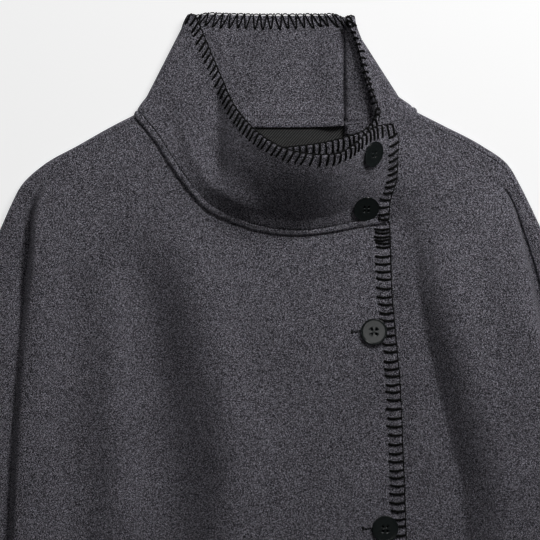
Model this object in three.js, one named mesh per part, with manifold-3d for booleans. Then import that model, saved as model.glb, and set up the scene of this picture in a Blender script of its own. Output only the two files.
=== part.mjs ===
// A wool cape coat with a tall funnel collar, closed off-centre by five buttons and laid out flat, face up.
// Millimetres. X runs to the viewer's right, Y from hem to collar, and Z up from the surface it lies on.
// Each cloth piece is a wall round a middle surface, which is worked out row by row from the tables below.

import * as THREE from "three";
import Module from "manifold-3d";
import { mergeVertices } from "three/addons/utils/BufferGeometryUtils.js";

const wasm = await Module();
wasm.setup();

// Driving dimensions of the cloth and of how it lies
const clothThickness = 2.5;
const seamGap = 0.3; // between two pieces at a seam
const rollRadius = 4; // bend of the cloth's middle where the back turns over into the front
const lapGap = 1.6; // air between the two fronts where one lies on the other
const halfHemWidth = 480;
const halfLength = 422.4; // from the middle of the coat to its hem, and to the collar's upper edge
const hemRise = 45; // how much higher the hem is at the side seams than in the middle

const backLevel = clothThickness / 2; // middle of the back's wall, which lies on the surface
const frontLevel = backLevel + 2 * rollRadius; // middle of the fronts' wall at the side seams
const lowestFront = 1.5 * clothThickness + 0.7; // middle of a front where a fold all but touches the back
const outlineInset = rollRadius + clothThickness / 2; // from the outline to the roll's axis

const greyWool = { color: 0x4a4a4d, roughness: 0.95, metalness: 0 };
const darkTwill = { color: 0x2c2d2e, roughness: 0.7, metalness: 0 };
const blackHorn = { color: 0x17191a, roughness: 0.35, metalness: 0 };

// Outline of the coat from the neck over the shoulder and down the side to the hem, left and right as it lies
const leftOutline = [
  { x: -121, y: 332 },
  { x: -143, y: 321 },
  { x: -175, y: 303 },
  { x: -206, y: 285.5 },
  { x: -226, y: 267 },
  { x: -235.5, y: 249 },
  { x: -243.5, y: 231 },
  { x: -351, y: -30 },
  { x: -halfHemWidth, y: hemRise - halfLength },
];
const rightOutline = [
  { x: 124.7, y: 335 },
  { x: 151.5, y: 321.5 },
  { x: 187, y: 303 },
  { x: 211, y: 285.5 },
  { x: 222, y: 267 },
  { x: 231, y: 249 },
  { x: 239.5, y: 231 },
  { x: 348, y: -30 },
  { x: halfHemWidth, y: hemRise - halfLength },
];

// Soft folds of the fronts, from neck to hem. rise is up or, below zero, down; xHigh, xMiddle and xHem are
// where the fold's line is 200 above the coat's middle, at the middle and at the hem, and wide grows from high
// to hem. onLapped is 0 where the overlapping front bridges the fold.
const softFolds = [
  { start: 235, xHigh: -116, xMiddle: -88, xHem: -98, wideHigh: 18, wideHem: 28, rise: -15, onLapped: 1 },
  { start: 255, xHigh: -72, xMiddle: -42, xHem: -48, wideHigh: 19, wideHem: 32, rise: 4, onLapped: 1 },
  { start: 220, xHigh: -180, xMiddle: -178, xHem: -186, wideHigh: 19, wideHem: 29, rise: -8, onLapped: 1 },
  { start: 220, xHigh: -142, xMiddle: -134, xHem: -142, wideHigh: 18, wideHem: 26, rise: 3, onLapped: 1 },
  { start: 275, xHigh: 103, xMiddle: 151, xHem: 180, wideHigh: 21, wideHem: 33, rise: -20, onLapped: 0 },
  { start: 245, xHigh: 146, xMiddle: 198, xHem: 226, wideHigh: 22, wideHem: 31, rise: 5, onLapped: 0 },
  { start: 60, xHigh: 60, xMiddle: 66, xHem: 72, wideHigh: 30, wideHem: 38, rise: 2, onLapped: 1 },
];
const foldFadeIn = 90; // length over which a soft fold grows from its start
const swell = { atNeck: 4, below: 14, from: 260, to: 130 }; // how far the fronts stand up between the folds
const seamReach = 50; // distance from the side seam over which they rise to that

// Guide lines of each front, from neck to hem: its free edge and the deep fold that falls from the shoulder
const lapEdge = [
  { x: 102.6, y: 237.6 },
  { x: 104, y: 213 },
  { x: 104.9, y: 177 },
  { x: 107.6, y: 141 },
  { x: 111.9, y: 96 },
  { x: 114.8, y: 33 },
  { x: 117.8, y: -48 },
  { x: 125, y: -422 },
];
const underEdge = [
  { x: -20, y: 233 },
  { x: -14, y: -48 },
  { x: -8, y: -425 },
];
const leftShoulderFold = [
  { x: -93, y: 296 },
  { x: -148, y: 286 },
  { x: -200, y: 273 },
  { x: -216, y: 255 },
  { x: -223, y: 204 },
  { x: -227.5, y: 150 },
  { x: -233, y: 51 },
  { x: -236.5, y: -48 },
  { x: -252, y: -413 },
];
const rightShoulderFold = [
  { x: 98, y: 302 },
  { x: 152, y: 288 },
  { x: 196, y: 274 },
  { x: 212, y: 254 },
  { x: 223, y: 222 },
  { x: 237, y: 159 },
  { x: 248, y: 78 },
  { x: 262, y: -48 },
  { x: 305, y: -407 },
];

// The deep fold in section, from the body's side to the arm's: out across the fold, and up from the valley
const foldSection = [
  { out: -14, up: 1 },
  { out: -10, up: 1 },
  { out: -7, up: 0.97 },
  { out: -5, up: 0.89 },
  { out: -3.5, up: 0.75 },
  { out: -2.2, up: 0.58 },
  { out: -1, up: 0.41 },
  { out: 0.2, up: 0.25 },
  { out: 1.4, up: 0.12 },
  { out: 2.8, up: 0.03 },
  { out: 4.4, up: 0 },
  { out: 6.5, up: -0.02 },
  { out: 10, up: -0.02 },
  { out: 14, up: 0 },
];
const foldReach = 14; // from the fold's line to each end of the section
const fullFoldRoom = 45; // from the fold's line to the side seam, below which the section is narrowed
const foldStart = 0.11; // share of the way from neck to hem where the deep fold begins
const foldFull = 0.22; // and where it has its whole depth
const foldShoulderWide = 34; // width over which the body rises to the fold
const foldBodyRise = 8; // the body's side stands this far over the front's level along the fold
const foldArmDrop = 8; // and the arm's side lies this far under it

// Neck seam in plan, where the collar meets the overlapping front, the front under it and the back
const lapNeck = [
  { x: -103, y: 310.5 },
  { x: -88.7, y: 288 },
  { x: -73.8, y: 267.3 },
  { x: -58, y: 250.2 },
  { x: -36.5, y: 238.8 },
  { x: -13.5, y: 230.8 },
  { x: 19.4, y: 226.8 },
  { x: 52.7, y: 229.5 },
  { x: 77.9, y: 234.4 },
  { x: 102.6, y: 237.6 },
];
const underNeck = [
  { x: 107, y: 312 },
  { x: 92, y: 289 },
  { x: 77, y: 268.5 },
  { x: 60, y: 251.5 },
  { x: 38, y: 240 },
  { x: 12, y: 233.5 },
  { x: -20, y: 233 },
];
const backNeck = [
  { x: -60, y: 325 },
  { x: 0, y: 323.5 },
  { x: 60, y: 324.5 },
];
const leftNeckOut = new THREE.Vector3(-0.707, 0.707, 0); // outwards at the neck's two ends, halfway between
const rightNeckOut = new THREE.Vector3(0.646, 0.763, 0); // the shoulder's outline and the collar's

// Upper edge of the collar
const collarTop = {
  under: [
    { x: -12, y: 294, z: 52 },
    { x: 9.5, y: 298, z: 59 },
    { x: 39, y: 301.5, z: 62 },
    { x: 65, y: 308, z: 51 },
    { x: 85, y: 317.5, z: 34 },
    { x: 93.5, y: 331, z: 28 },
    { x: 89.5, y: 347, z: 24 },
    { x: 81.5, y: 370, z: 20 },
    { x: 75.5, y: 393, z: 17 },
  ],
  rightAxis: { x: 66, y: 416.4 },
  rightOut: new THREE.Vector3(0.97, 0.22, 0),
  rightRadius: 7,
  back: [
    { x: 56, y: 420 },
    { x: 0, y: 419.5 },
    { x: -60, y: 421 },
  ],
  leftAxis: { x: -70, y: 418.5 },
  leftOut: new THREE.Vector3(-0.97, 0.22, 0),
  leftRadius: 5,
  lap: [
    { x: -64.5, y: 405, z: 13 },
    { x: -57, y: 387, z: 13.5 },
    { x: -46.5, y: 362, z: 17 },
    { x: -36.5, y: 339.5, z: 27 },
    { x: -22.5, y: 320.5, z: 46 },
    { x: -5, y: 305, z: 65 },
    { x: 14, y: 295.5, z: 76 },
    { x: 36, y: 291.5, z: 81 },
    { x: 56, y: 292.5, z: 79 },
    { x: 69, y: 299, z: 70 },
    { x: 80, y: 309.5, z: 58 },
    { x: 91, y: 317.5, z: 44 },
    { x: 106, y: 320, z: 32 },
  ],
};

// The collar's standing front in section, from neck seam to upper edge: share of the cloth, of the way across
// and of the height
const collarSection = [
  { cloth: 0, across: 0, rise: 0 },
  { cloth: 0.05, across: 0.05, rise: 0.02 },
  { cloth: 0.15, across: 0.13, rise: 0.14 },
  { cloth: 0.3, across: 0.27, rise: 0.33 },
  { cloth: 0.5, across: 0.47, rise: 0.57 },
  { cloth: 0.7, across: 0.67, rise: 0.78 },
  { cloth: 0.85, across: 0.83, rise: 0.91 },
  { cloth: 1, across: 1, rise: 1 },
];
const standHeight = 26; // rise from seam to upper edge at which the section has its whole curve
const rightHollow = 9; // how far the collar's right outline curves in between seam and upper edge

// Twill facing on the back's inside below the neck seam
const neckFacing = { depth: 52, thickness: 1.0, columns: 12 };

// Buttons, two on the collar and the others evenly down the front, each at its place in plan
const button = { radius: 11.5, edgeHeight: 2.4, rimHeight: 3.2, rimWidth: 1.4, foot: 2, sides: 28 };
const buttonHole = { radius: 1.0, spacing: 4.4, sides: 10 };
const firstButton = { x: 90, y: 136 };
const buttonSpacing = 175.5;
const buttonPlaces = [
  { x: 86.8, y: 294.5 },
  { x: 82.5, y: 247 },
  firstButton,
  { x: 99.9, y: firstButton.y - buttonSpacing },
  { x: 106, y: firstButton.y - 2 * buttonSpacing },
];

// Small vector helpers
const up = new THREE.Vector3(0, 0, 1);
const down = new THREE.Vector3(0, 0, -1);
const vec = (x, y, z = 0) => new THREE.Vector3(x, y, z);
const mix = (a, b, share) => a + (b - a) * share;
const between = (p, q, share) => p.clone().lerp(q, share);
const smooth = (from, to, value) => THREE.MathUtils.smoothstep((value - from) / (to - from), 0, 1);
const planDistance = (p, q) => Math.hypot(p.x - q.x, p.y - q.y);

// A smooth line through rows of x, y and z; 0 is its first row and 1 its last, by length in between.
function smoothLine(rows) {
  const points = rows.map((r) => vec(r.x, r.y, r.z ?? 0));
  const spans = points.slice(1).map((p, i) => p.distanceTo(points[i]));
  const chord = (i) => points[i + 1].clone().sub(points[i]).divideScalar(spans[i]);
  const slopes = points.map((p, i) => {
    if (i === 0) return chord(0);
    if (i === points.length - 1) return chord(i - 1);
    const total = spans[i - 1] + spans[i];
    return chord(i - 1).multiplyScalar(spans[i] / total).addScaledVector(chord(i), spans[i - 1] / total);
  });
  const length = spans.reduce((a, b) => a + b, 0);
  return (share) => {
    let left = THREE.MathUtils.clamp(share, 0, 1) * length;
    let i = 0;
    while (i < spans.length - 1 && left > spans[i]) {
      left -= spans[i];
      i += 1;
    }
    const t = left / spans[i];
    return points[i]
      .clone()
      .multiplyScalar(2 * t ** 3 - 3 * t ** 2 + 1)
      .addScaledVector(slopes[i], (t ** 3 - 2 * t ** 2 + t) * spans[i])
      .addScaledVector(points[i + 1], 3 * t ** 2 - 2 * t ** 3)
      .addScaledVector(slopes[i + 1], (t ** 3 - t ** 2) * spans[i]);
  };
}

// A line of straight stretches, from 0 at its first point to 1 at its last
function bentLine(points) {
  const spans = points.slice(1).map((p, i) => p.distanceTo(points[i]));
  const length = spans.reduce((a, b) => a + b, 0);
  return (share) => {
    let left = share * length;
    let i = 0;
    while (i < spans.length - 1 && left > spans[i]) {
      left -= spans[i];
      i += 1;
    }
    return between(points[i], points[i + 1], left / spans[i]);
  };
}

// The hem's height in plan at a distance from the middle
const hemAt = (x) => hemRise * (x / halfHemWidth) ** 2 - halfLength;

// The rolled edge of the coat at a share of the outline: the roll's axis in plan, and the way outwards
function outlineRoll(outline, neckOut, side) {
  const line = smoothLine(outline);
  return (share) => {
    const step = 0.004;
    const along = line(Math.min(1, share + step)).sub(line(Math.max(0, share - step))).normalize();
    const out = vec(-along.y * side, along.x * side).lerp(neckOut, 1 - smooth(0, 0.06, share)).normalize();
    return { axis: line(share).addScaledVector(out, -outlineInset), out };
  };
}
const leftRoll = outlineRoll(leftOutline, leftNeckOut, -1);
const rightRoll = outlineRoll(rightOutline, rightNeckOut, 1);

// A point of a roll, and the way its wall faces: 0 is at the underside and 1 at the top
function rollPoint({ axis, out }, turn, radius = rollRadius) {
  const angle = Math.PI * turn;
  const facing = out.clone().multiplyScalar(Math.sin(angle)).setZ(-Math.cos(angle));
  const point = vec(axis.x, axis.y, backLevel + radius).addScaledVector(facing, radius);
  return { point, facing };
}

// How far the soft folds lift a front's cloth at a place in plan
function foldLift(x, y, lapped) {
  const level = mix(swell.atNeck, swell.below, smooth(swell.from, swell.to, y));
  return softFolds.reduce((sum, f) => {
    if (lapped && !f.onLapped) return sum;
    const line = y > 0 ? mix(f.xMiddle, f.xHigh, y / 200) : mix(f.xMiddle, f.xHem, -y / halfLength);
    const wide = mix(f.wideHigh, f.wideHem, smooth(200, -halfLength, y));
    const grown = smooth(f.start, f.start - foldFadeIn, y) * mix(1, 1.2, smooth(0, -halfLength, y));
    return sum + f.rise * grown * Math.exp(-(((x - line) / wide) ** 2));
  }, level);
}

// Height of a front's middle before it settles on what is under it: level at the side seam
const clearOfSeam = (p, seam) => smooth(0, seamReach, planDistance(p, seam));
const freeHeight = (p, seam, lapped) => frontLevel + clearOfSeam(p, seam) * foldLift(p.x, p.y, lapped);

// Height once the cloth rests on the back, or on the other front where it laps over that
function settledHeight(free, p, seam, lapped) {
  const over = free - lowestFront;
  const settled = lowestFront + (over + Math.sqrt(over ** 2 + 1.5)) / 2;
  const onFront = smooth(-68, -30, p.x) * clearOfSeam(p, seam);
  return lapped ? settled + (clothThickness + lapGap) * onFront : settled;
}

// Shares of the way from neck to hem at which the body's pieces have a row
const rowCount = 20;
const bodyRows = Array.from({ length: rowCount + 1 }, (_, i) => (i / rowCount) ** 1.25);
const neckReach = 0.16; // share of that way over which the rows bend from the neck seam to level
const nearNeck = (share) => Math.max(0, 1 - share / neckReach) ** 2;

// A front as rows of middle points: from its free edge over the body, through the deep fold and over the arm
function frontGrid({ edge, fold, roll, neck, lapped, bodyColumns, armColumns }) {
  const edgeLine = smoothLine(edge);
  const foldLine = smoothLine(fold);
  const seamAt = ({ axis, out }) => axis.clone().addScaledVector(out, -seamGap);
  const neckLine = smoothLine([...neck.toReversed(), seamAt(roll(0)).setZ(0)]);
  const columns = bodyColumns + foldSection.length + armColumns;

  const rowAt = (share) => {
    const seam = seamAt(roll(share));
    const centre = foldLine(share);
    const along = foldLine(Math.min(1, share + 0.01)).sub(foldLine(Math.max(0, share - 0.01))).normalize();
    const side = Math.sign(seam.x);
    const out = vec(-along.y * side, along.x * side);
    const reach = foldReach * Math.min(1, planDistance(centre, seam) / fullFoldRoom);
    const depth = smooth(foldStart, foldFull, share);
    const bodyEnd = centre.clone().addScaledVector(out, -reach);
    const armStart = centre.clone().addScaledVector(out, reach);
    const body = Array.from({ length: bodyColumns }, (_, i) => ({
      plan: between(edgeLine(share), bodyEnd, i / bodyColumns),
      onBody: true,
    }));
    const across = foldSection.map((s, i) => {
      const even = mix(-1, 1, i / (foldSection.length - 1)) * reach;
      return { plan: centre.clone().addScaledVector(out, mix(even, s.out, depth)), up: s.up };
    });
    const arm = Array.from({ length: armColumns }, (_, i) => ({
      plan: between(armStart, seam, (i + 1) / armColumns),
      onArm: (i + 1) / armColumns,
    }));
    const even = bentLine([edgeLine(share), centre, seam]);
    return { row: [...body, ...across, ...arm], even, seam, depth, bodyEnd, armStart };
  };

  const firstEven = rowAt(0).even;
  const hemShift = rowAt(1).row.map((c) => (c.onArm === 1 ? 0 : hemAt(c.plan.x) - c.plan.y));
  return bodyRows.map((share) => {
    const { row, even, seam, depth, bodyEnd, armStart } = rowAt(share);
    const bodySide = freeHeight(bodyEnd, seam, lapped) + foldBodyRise * depth;
    const armSide = Math.max(lowestFront, freeHeight(armStart, seam, lapped) - foldArmDrop * depth);
    return row.map((c, i) => {
      const run = i / (columns - 1);
      const curved = mix((1 - share) ** 2, nearNeck(share), Math.min(1, i / bodyColumns) ** 2);
      const plan = between(c.plan, even(run), nearNeck(share));
      plan.addScaledVector(neckLine(run).sub(firstEven(run)), curved).setZ(0);
      plan.y += hemShift[i] * share ** 3;
      let z = freeHeight(plan, seam, lapped);
      const beside = Math.exp(-((planDistance(plan, bodyEnd) / foldShoulderWide) ** 2));
      if (c.onBody) z += foldBodyRise * depth * beside;
      else if (c.onArm) z -= foldArmDrop * depth * (1 - c.onArm) ** 2;
      else if (share > 0) z = mix(z, mix(armSide, bodySide, c.up), smooth(0, foldStart, share));
      const atSeam = c.onArm === 1;
      plan.setZ(atSeam ? frontLevel : settledHeight(z, plan, seam, lapped));
      return { point: plan, facing: share === 0 || atSeam ? up : undefined };
    });
  });
}

// The back as rows of middle points: over the left roll, flat across, and over the right roll
const rollTurns = [1, 0.75, 0.5, 0.25, 0];
const flatColumns = 13;
function backGrid() {
  const neckLine = smoothLine([leftRoll(0).axis, ...backNeck, rightRoll(0).axis]);
  return bodyRows.map((share) => {
    const left = leftRoll(share);
    const right = rightRoll(share);
    const flat = [];
    for (let i = 1; i < flatColumns; i += 1) {
      const plan = between(left.axis, right.axis, i / flatColumns).setZ(0);
      const level = between(leftRoll(0).axis, rightRoll(0).axis, i / flatColumns);
      plan.addScaledVector(neckLine(i / flatColumns).sub(level), nearNeck(share));
      plan.y += (hemAt(plan.x) - plan.y) * share ** 12;
      flat.push({ point: plan.setZ(backLevel), facing: down });
    }
    const overRight = rollTurns.toReversed().map((turn) => rollPoint(right, turn));
    return [...rollTurns.map((turn) => rollPoint(left, turn)), ...flat, ...overRight];
  });
}

// The collar as rows from neck seam to upper edge, each going round the neck from the hidden end to the
// lapped end
function collarGrid(back, lapFront, underFront) {
  const rolls = rollTurns.length;
  const backNeckRow = back[0];
  const bottoms = [
    ...underFront[0].slice(0, -1),
    ...backNeckRow.toReversed(),
    ...lapFront[0].slice(0, -1).toReversed(),
  ];
  const rightFold = { axis: collarTop.rightAxis, out: collarTop.rightOut.clone().normalize() };
  const leftFold = { axis: collarTop.leftAxis, out: collarTop.leftOut.clone().normalize() };
  const rightTop = (turn) => rollPoint(rightFold, turn, collarTop.rightRadius);
  const leftTop = (turn) => rollPoint(leftFold, turn, collarTop.leftRadius);
  const underTop = smoothLine(collarTop.under);
  const lapTop = smoothLine(collarTop.lap);
  const backTop = smoothLine(collarTop.back);
  const underCount = underFront[0].length - 1;
  const lapCount = lapFront[0].length - 1;
  const backCount = backNeckRow.length - 2 * rolls;
  const tops = [
    ...Array.from({ length: underCount }, (_, i) => ({ point: underTop(i / (underCount - 1)) })),
    ...rollTurns.map((turn) => rightTop(turn)),
    ...Array.from({ length: backCount }, (_, i) => ({
      point: backTop(i / (backCount - 1)).setZ(backLevel),
      facing: down,
    })),
    ...rollTurns.toReversed().map((turn) => leftTop(turn)),
    ...Array.from({ length: lapCount }, (_, i) => ({ point: lapTop(i / (lapCount - 1)) })),
  ];
  return collarSection.map(({ cloth, across, rise }, row) =>
    bottoms.map(({ point: foot, facing: footFacing }, i) => {
      const top = tops[i];
      const onRoll = top.facing !== undefined;
      const start = between(foot, top.point, (2.5 * seamGap) / foot.distanceTo(top.point)).setZ(foot.z);
      const stand = onRoll ? 0 : smooth(0, standHeight, top.point.z - foot.z);
      const point = between(start, top.point, mix(cloth, across, stand));
      point.z = mix(start.z, top.point.z, mix(cloth, rise, stand));
      const rightSide = onRoll && i < underCount + rolls;
      if (rightSide) {
        const hollow = rightHollow * top.facing.x * 4 * cloth * (1 - cloth);
        point.addScaledVector(collarTop.rightOut, -Math.max(0, hollow));
      }
      if (onRoll) return { point, facing: between(footFacing, top.facing, cloth).normalize() };
      return { point, facing: row === 0 ? up : undefined };
    }),
  );
}

// The facing as rows just over the back's inside, along the neck seam and then below it
function facingGrid() {
  const { depth, thickness, columns } = neckFacing;
  const neckLine = smoothLine(backNeck);
  const level = clothThickness + seamGap + thickness / 2;
  return [0, 0.5, 1].map((share) =>
    Array.from({ length: columns + 1 }, (_, i) => {
      const along = i / columns;
      const plan = neckLine(1 - along);
      plan.y -= 1 + share * depth * (1 - (2 * along - 1) ** 4);
      return { point: plan.setZ(level), facing: down };
    }),
  );
}

// The way a wall faces at each point of its grid, where the grid doesn't say
function faceGrid(grid, turned) {
  return grid.map((row, j) =>
    row.map((c, i) => {
      if (c.facing) return c.facing;
      const across = row[Math.min(i + 1, row.length - 1)].point.clone().sub(row[Math.max(i - 1, 0)].point);
      const below = grid[Math.min(j + 1, grid.length - 1)][i].point.clone();
      const along = below.sub(grid[Math.max(j - 1, 0)][i].point);
      return across.cross(along).multiplyScalar(turned ? -1 : 1).normalize();
    }),
  );
}

// A closed wall round a grid of middle points
function wall(grid, thickness, turned) {
  const faces = faceGrid(grid, turned);
  const rows = grid.length;
  const columns = grid[0].length;
  const positions = [];
  for (const side of [thickness / 2, -thickness / 2]) {
    grid.forEach((row, j) =>
      row.forEach(({ point }, i) => {
        positions.push(...point.clone().addScaledVector(faces[j][i], side).toArray());
      }),
    );
  }
  const outer = (j, i) => j * columns + i;
  const inner = (j, i) => (rows + j) * columns + i;
  const triangles = [];
  const quad = (a, b, c, d) => triangles.push(...(turned ? [a, b, c, a, c, d] : [a, c, b, a, d, c]));
  for (let j = 0; j < rows - 1; j += 1) {
    for (let i = 0; i < columns - 1; i += 1) {
      quad(outer(j, i), outer(j + 1, i), outer(j + 1, i + 1), outer(j, i + 1));
      quad(inner(j, i), inner(j, i + 1), inner(j + 1, i + 1), inner(j + 1, i));
    }
    quad(outer(j, 0), inner(j, 0), inner(j + 1, 0), outer(j + 1, 0));
    quad(outer(j + 1, columns - 1), inner(j + 1, columns - 1), inner(j, columns - 1), outer(j, columns - 1));
  }
  for (let i = 0; i < columns - 1; i += 1) {
    quad(outer(0, i + 1), inner(0, i + 1), inner(0, i), outer(0, i));
    quad(outer(rows - 1, i), inner(rows - 1, i), inner(rows - 1, i + 1), outer(rows - 1, i + 1));
  }
  const geometry = new THREE.BufferGeometry();
  geometry.setAttribute("position", new THREE.Float32BufferAttribute(positions, 3));
  geometry.setIndex(triangles);
  return geometry;
}

// The highest point of a wall's outer side at a place in plan
function outerSideAt(grids, x, y) {
  let best = null;
  for (const grid of grids) {
    const faces = faceGrid(grid, false);
    const outerPoint = (j, i) => grid[j][i].point.clone().addScaledVector(faces[j][i], clothThickness / 2);
    for (let j = 0; j < grid.length - 1; j += 1) {
      for (let i = 0; i < grid[0].length - 1; i += 1) {
        const here = outerPoint(j, i);
        const far = outerPoint(j + 1, i + 1);
        for (const [a, b, c] of [
          [here, outerPoint(j, i + 1), far],
          [here, far, outerPoint(j + 1, i)],
        ]) {
          const flat = new THREE.Triangle(vec(a.x, a.y), vec(b.x, b.y), vec(c.x, c.y));
          const share = flat.getBarycoord(vec(x, y), vec(0, 0));
          if (!share || share.x < 0 || share.y < 0 || share.z < 0) continue;
          const z = a.z * share.x + b.z * share.y + c.z * share.z;
          if (!best || z > best.z) best = vec(x, y, z);
        }
      }
    }
  }
  return best;
}

// Closed mesh to solid and back
function toSolid(geometry) {
  geometry.deleteAttribute("normal");
  geometry.deleteAttribute("uv");
  const merged = mergeVertices(geometry, 1e-4);
  const corners = [...merged.index.array];
  const kept = [];
  for (let i = 0; i < corners.length; i += 3) {
    const [a, b, c] = corners.slice(i, i + 3);
    if (a !== b && b !== c && c !== a) kept.push(a, b, c);
  }
  const vertProperties = new Float32Array(merged.attributes.position.array);
  return new wasm.Manifold(new wasm.Mesh({ numProp: 3, vertProperties, triVerts: new Uint32Array(kept) }));
}
function toGeometry(solid) {
  const { vertProperties, triVerts } = solid.getMesh();
  const geometry = new THREE.BufferGeometry();
  geometry.setAttribute("position", new THREE.Float32BufferAttribute(vertProperties, 3));
  geometry.setIndex([...triVerts]);
  return geometry;
}

// A dished button with a raised rim and four holes, its face up
function buttonGeometry() {
  const { radius, edgeHeight, rimHeight, rimWidth, foot, sides } = button;
  const profile = [
    [0, 0],
    [radius - foot, 0],
    [radius, edgeHeight / 2],
    [radius, edgeHeight],
    [radius - rimWidth / 3, rimHeight],
    [radius - rimWidth, rimHeight],
    [radius - 1.6 * rimWidth, edgeHeight],
    [0, edgeHeight],
  ].map(([r, h]) => new THREE.Vector2(r, h));
  let solid = toSolid(new THREE.LatheGeometry(profile, sides).rotateX(Math.PI / 2));
  for (const x of [-0.5, 0.5]) {
    for (const y of [-0.5, 0.5]) {
      const { radius: drillRadius, spacing, sides: drillSides } = buttonHole;
      const drill = new THREE.CylinderGeometry(drillRadius, drillRadius, 4 * edgeHeight, drillSides);
      drill.rotateX(Math.PI / 2).translate(x * spacing, y * spacing, 0);
      solid = solid.subtract(toSolid(drill));
    }
  }
  return toGeometry(solid);
}

// Where a button lies: on the highest cloth under it, and leaning as that cloth does
function seatButton(mesh, place, grids) {
  const reach = 0.7 * button.radius;
  const clothAt = (x, y) => outerSideAt(grids, place.x + x * reach, place.y + y * reach);
  const centre = clothAt(0, 0);
  const normal = clothAt(1, 0).sub(clothAt(-1, 0)).cross(clothAt(0, 1).sub(clothAt(0, -1))).normalize();
  const turn = new THREE.Quaternion().setFromUnitVectors(up, normal);
  let clear = 0;
  for (const ring of [0.35, 0.7, 1]) {
    for (let k = 0; k < 12; k += 1) {
      const angle = (k / 12) * 2 * Math.PI;
      const rim = vec(Math.cos(angle), Math.sin(angle)).multiplyScalar(ring * button.radius);
      rim.applyQuaternion(turn);
      const cloth = outerSideAt(grids, centre.x + rim.x, centre.y + rim.y);
      if (cloth) clear = Math.max(clear, cloth.sub(centre).dot(normal));
    }
  }
  mesh.position.copy(centre).addScaledVector(normal, clear + seamGap);
  mesh.quaternion.copy(turn);
}

const back = backGrid();
const lapFront = frontGrid({
  edge: lapEdge,
  fold: leftShoulderFold,
  roll: leftRoll,
  neck: lapNeck,
  lapped: true,
  bodyColumns: 17,
  armColumns: 6,
});
const underFront = frontGrid({
  edge: underEdge,
  fold: rightShoulderFold,
  roll: rightRoll,
  neck: underNeck,
  lapped: false,
  bodyColumns: 13,
  armColumns: 6,
});
const collar = collarGrid(back, lapFront, underFront);

const coat = new THREE.Group();
coat.name = "wool_cape_coat";
function add(name, geometry, look) {
  const mesh = new THREE.Mesh(geometry, new THREE.MeshStandardMaterial(look));
  mesh.name = name;
  coat.add(mesh);
  return mesh;
}
add("back", wall(back, clothThickness, false), greyWool);
add("front_lapped", wall(lapFront, clothThickness, false), greyWool);
add("front_under", wall(underFront, clothThickness, true), greyWool);
add("collar", wall(collar, clothThickness, false), greyWool);
add("neck_facing", wall(facingGrid(), neckFacing.thickness, true), darkTwill);
const buttonShape = buttonGeometry();
buttonPlaces.forEach((place, i) => {
  seatButton(add(`button_${i + 1}`, buttonShape, blackHorn), place, [lapFront, collar]);
});

export default coat;
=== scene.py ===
# A grey wool cape coat with a tall funnel collar, laid out flat and seen from straight above.
# Tables and sizes are in millimetres unless they say otherwise, and mm turns them into Blender's metres.
import math
import random

import bmesh
import bpy
import numpy as np
from mathutils import Matrix, Vector, noise
from mathutils.bvhtree import BVHTree


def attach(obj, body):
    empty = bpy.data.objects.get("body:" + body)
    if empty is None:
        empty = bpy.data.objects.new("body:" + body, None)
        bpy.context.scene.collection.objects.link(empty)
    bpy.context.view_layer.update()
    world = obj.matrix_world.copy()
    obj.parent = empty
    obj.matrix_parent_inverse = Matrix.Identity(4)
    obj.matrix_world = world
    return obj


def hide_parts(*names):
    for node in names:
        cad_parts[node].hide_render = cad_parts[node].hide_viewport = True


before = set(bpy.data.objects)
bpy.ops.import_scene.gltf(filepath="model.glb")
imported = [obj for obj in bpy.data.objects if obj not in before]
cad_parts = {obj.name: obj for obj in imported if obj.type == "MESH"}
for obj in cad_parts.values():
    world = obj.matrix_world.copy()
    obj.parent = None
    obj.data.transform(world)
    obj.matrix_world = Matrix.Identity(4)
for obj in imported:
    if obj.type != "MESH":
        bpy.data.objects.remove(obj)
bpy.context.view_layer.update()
mm = 0.001
scene = bpy.context.scene

# Studio: a pale sheet of paper under the coat, a soft window light from beyond the collar at the right, a
# weak one from the left and a small card over the buttons. The camera is straight above, framed on the collar
# and the shoulders.
PICTURE_WIDTH = 486.0
PICTURE_CENTRE = (-2.7, 191.0)
CAMERA_HEIGHT = 3000.0
SENSOR_WIDTH = 36.0
PAPER_SIZE = 12000.0
PAPER_GREY, PAPER_GLOW = 0.5, 0.64
ROOM_LIGHT = 0.05
LIGHTS = (
    # name, place, what it is aimed at, width and height, watts
    ("window_beyond_collar", (590, 1055, 830), (0, 150, 0), (530, 330), 10),
    ("window_at_left", (-700, 1400, 1200), (-250, 200, 0), (800, 500), 1.9),
    ("card_over_buttons", (136, 109, 1500), (100, 100, 0), (230, 220), 0.4),
)


def feed(made, values):
    """Sets a shader node's inputs to values, or joins them to the outputs of other nodes."""
    for socket, value in dict(values).items():
        if isinstance(value, bpy.types.NodeSocket):
            made.id_data.links.new(value, made.inputs[socket])
        else:
            made.inputs[socket].default_value = value


def new_material(name, look):
    """A material whose shader is fed with what a look makes in its node tree."""
    made = bpy.data.materials.new(name)
    made.use_nodes = True
    feed(made.node_tree.nodes["Principled BSDF"], look(made.node_tree))
    return made


def paper_look(_tree):
    return {
        "Base Color": (PAPER_GREY, PAPER_GREY, PAPER_GREY, 1), "Emission Color": (1, 1, 1, 1),
        "Emission Strength": PAPER_GLOW, "Roughness": 1.0, "Specular IOR Level": 0.0,
    }


paper_mesh = bmesh.new()
bmesh.ops.create_grid(paper_mesh, x_segments=1, y_segments=1, size=PAPER_SIZE * mm / 2)
paper = bpy.data.objects.new("paper", bpy.data.meshes.new("paper"))
paper_mesh.to_mesh(paper.data)
paper_mesh.free()
scene.collection.objects.link(paper)
paper.data.materials.append(new_material("paper", paper_look))
paper.visible_glossy = False


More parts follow.
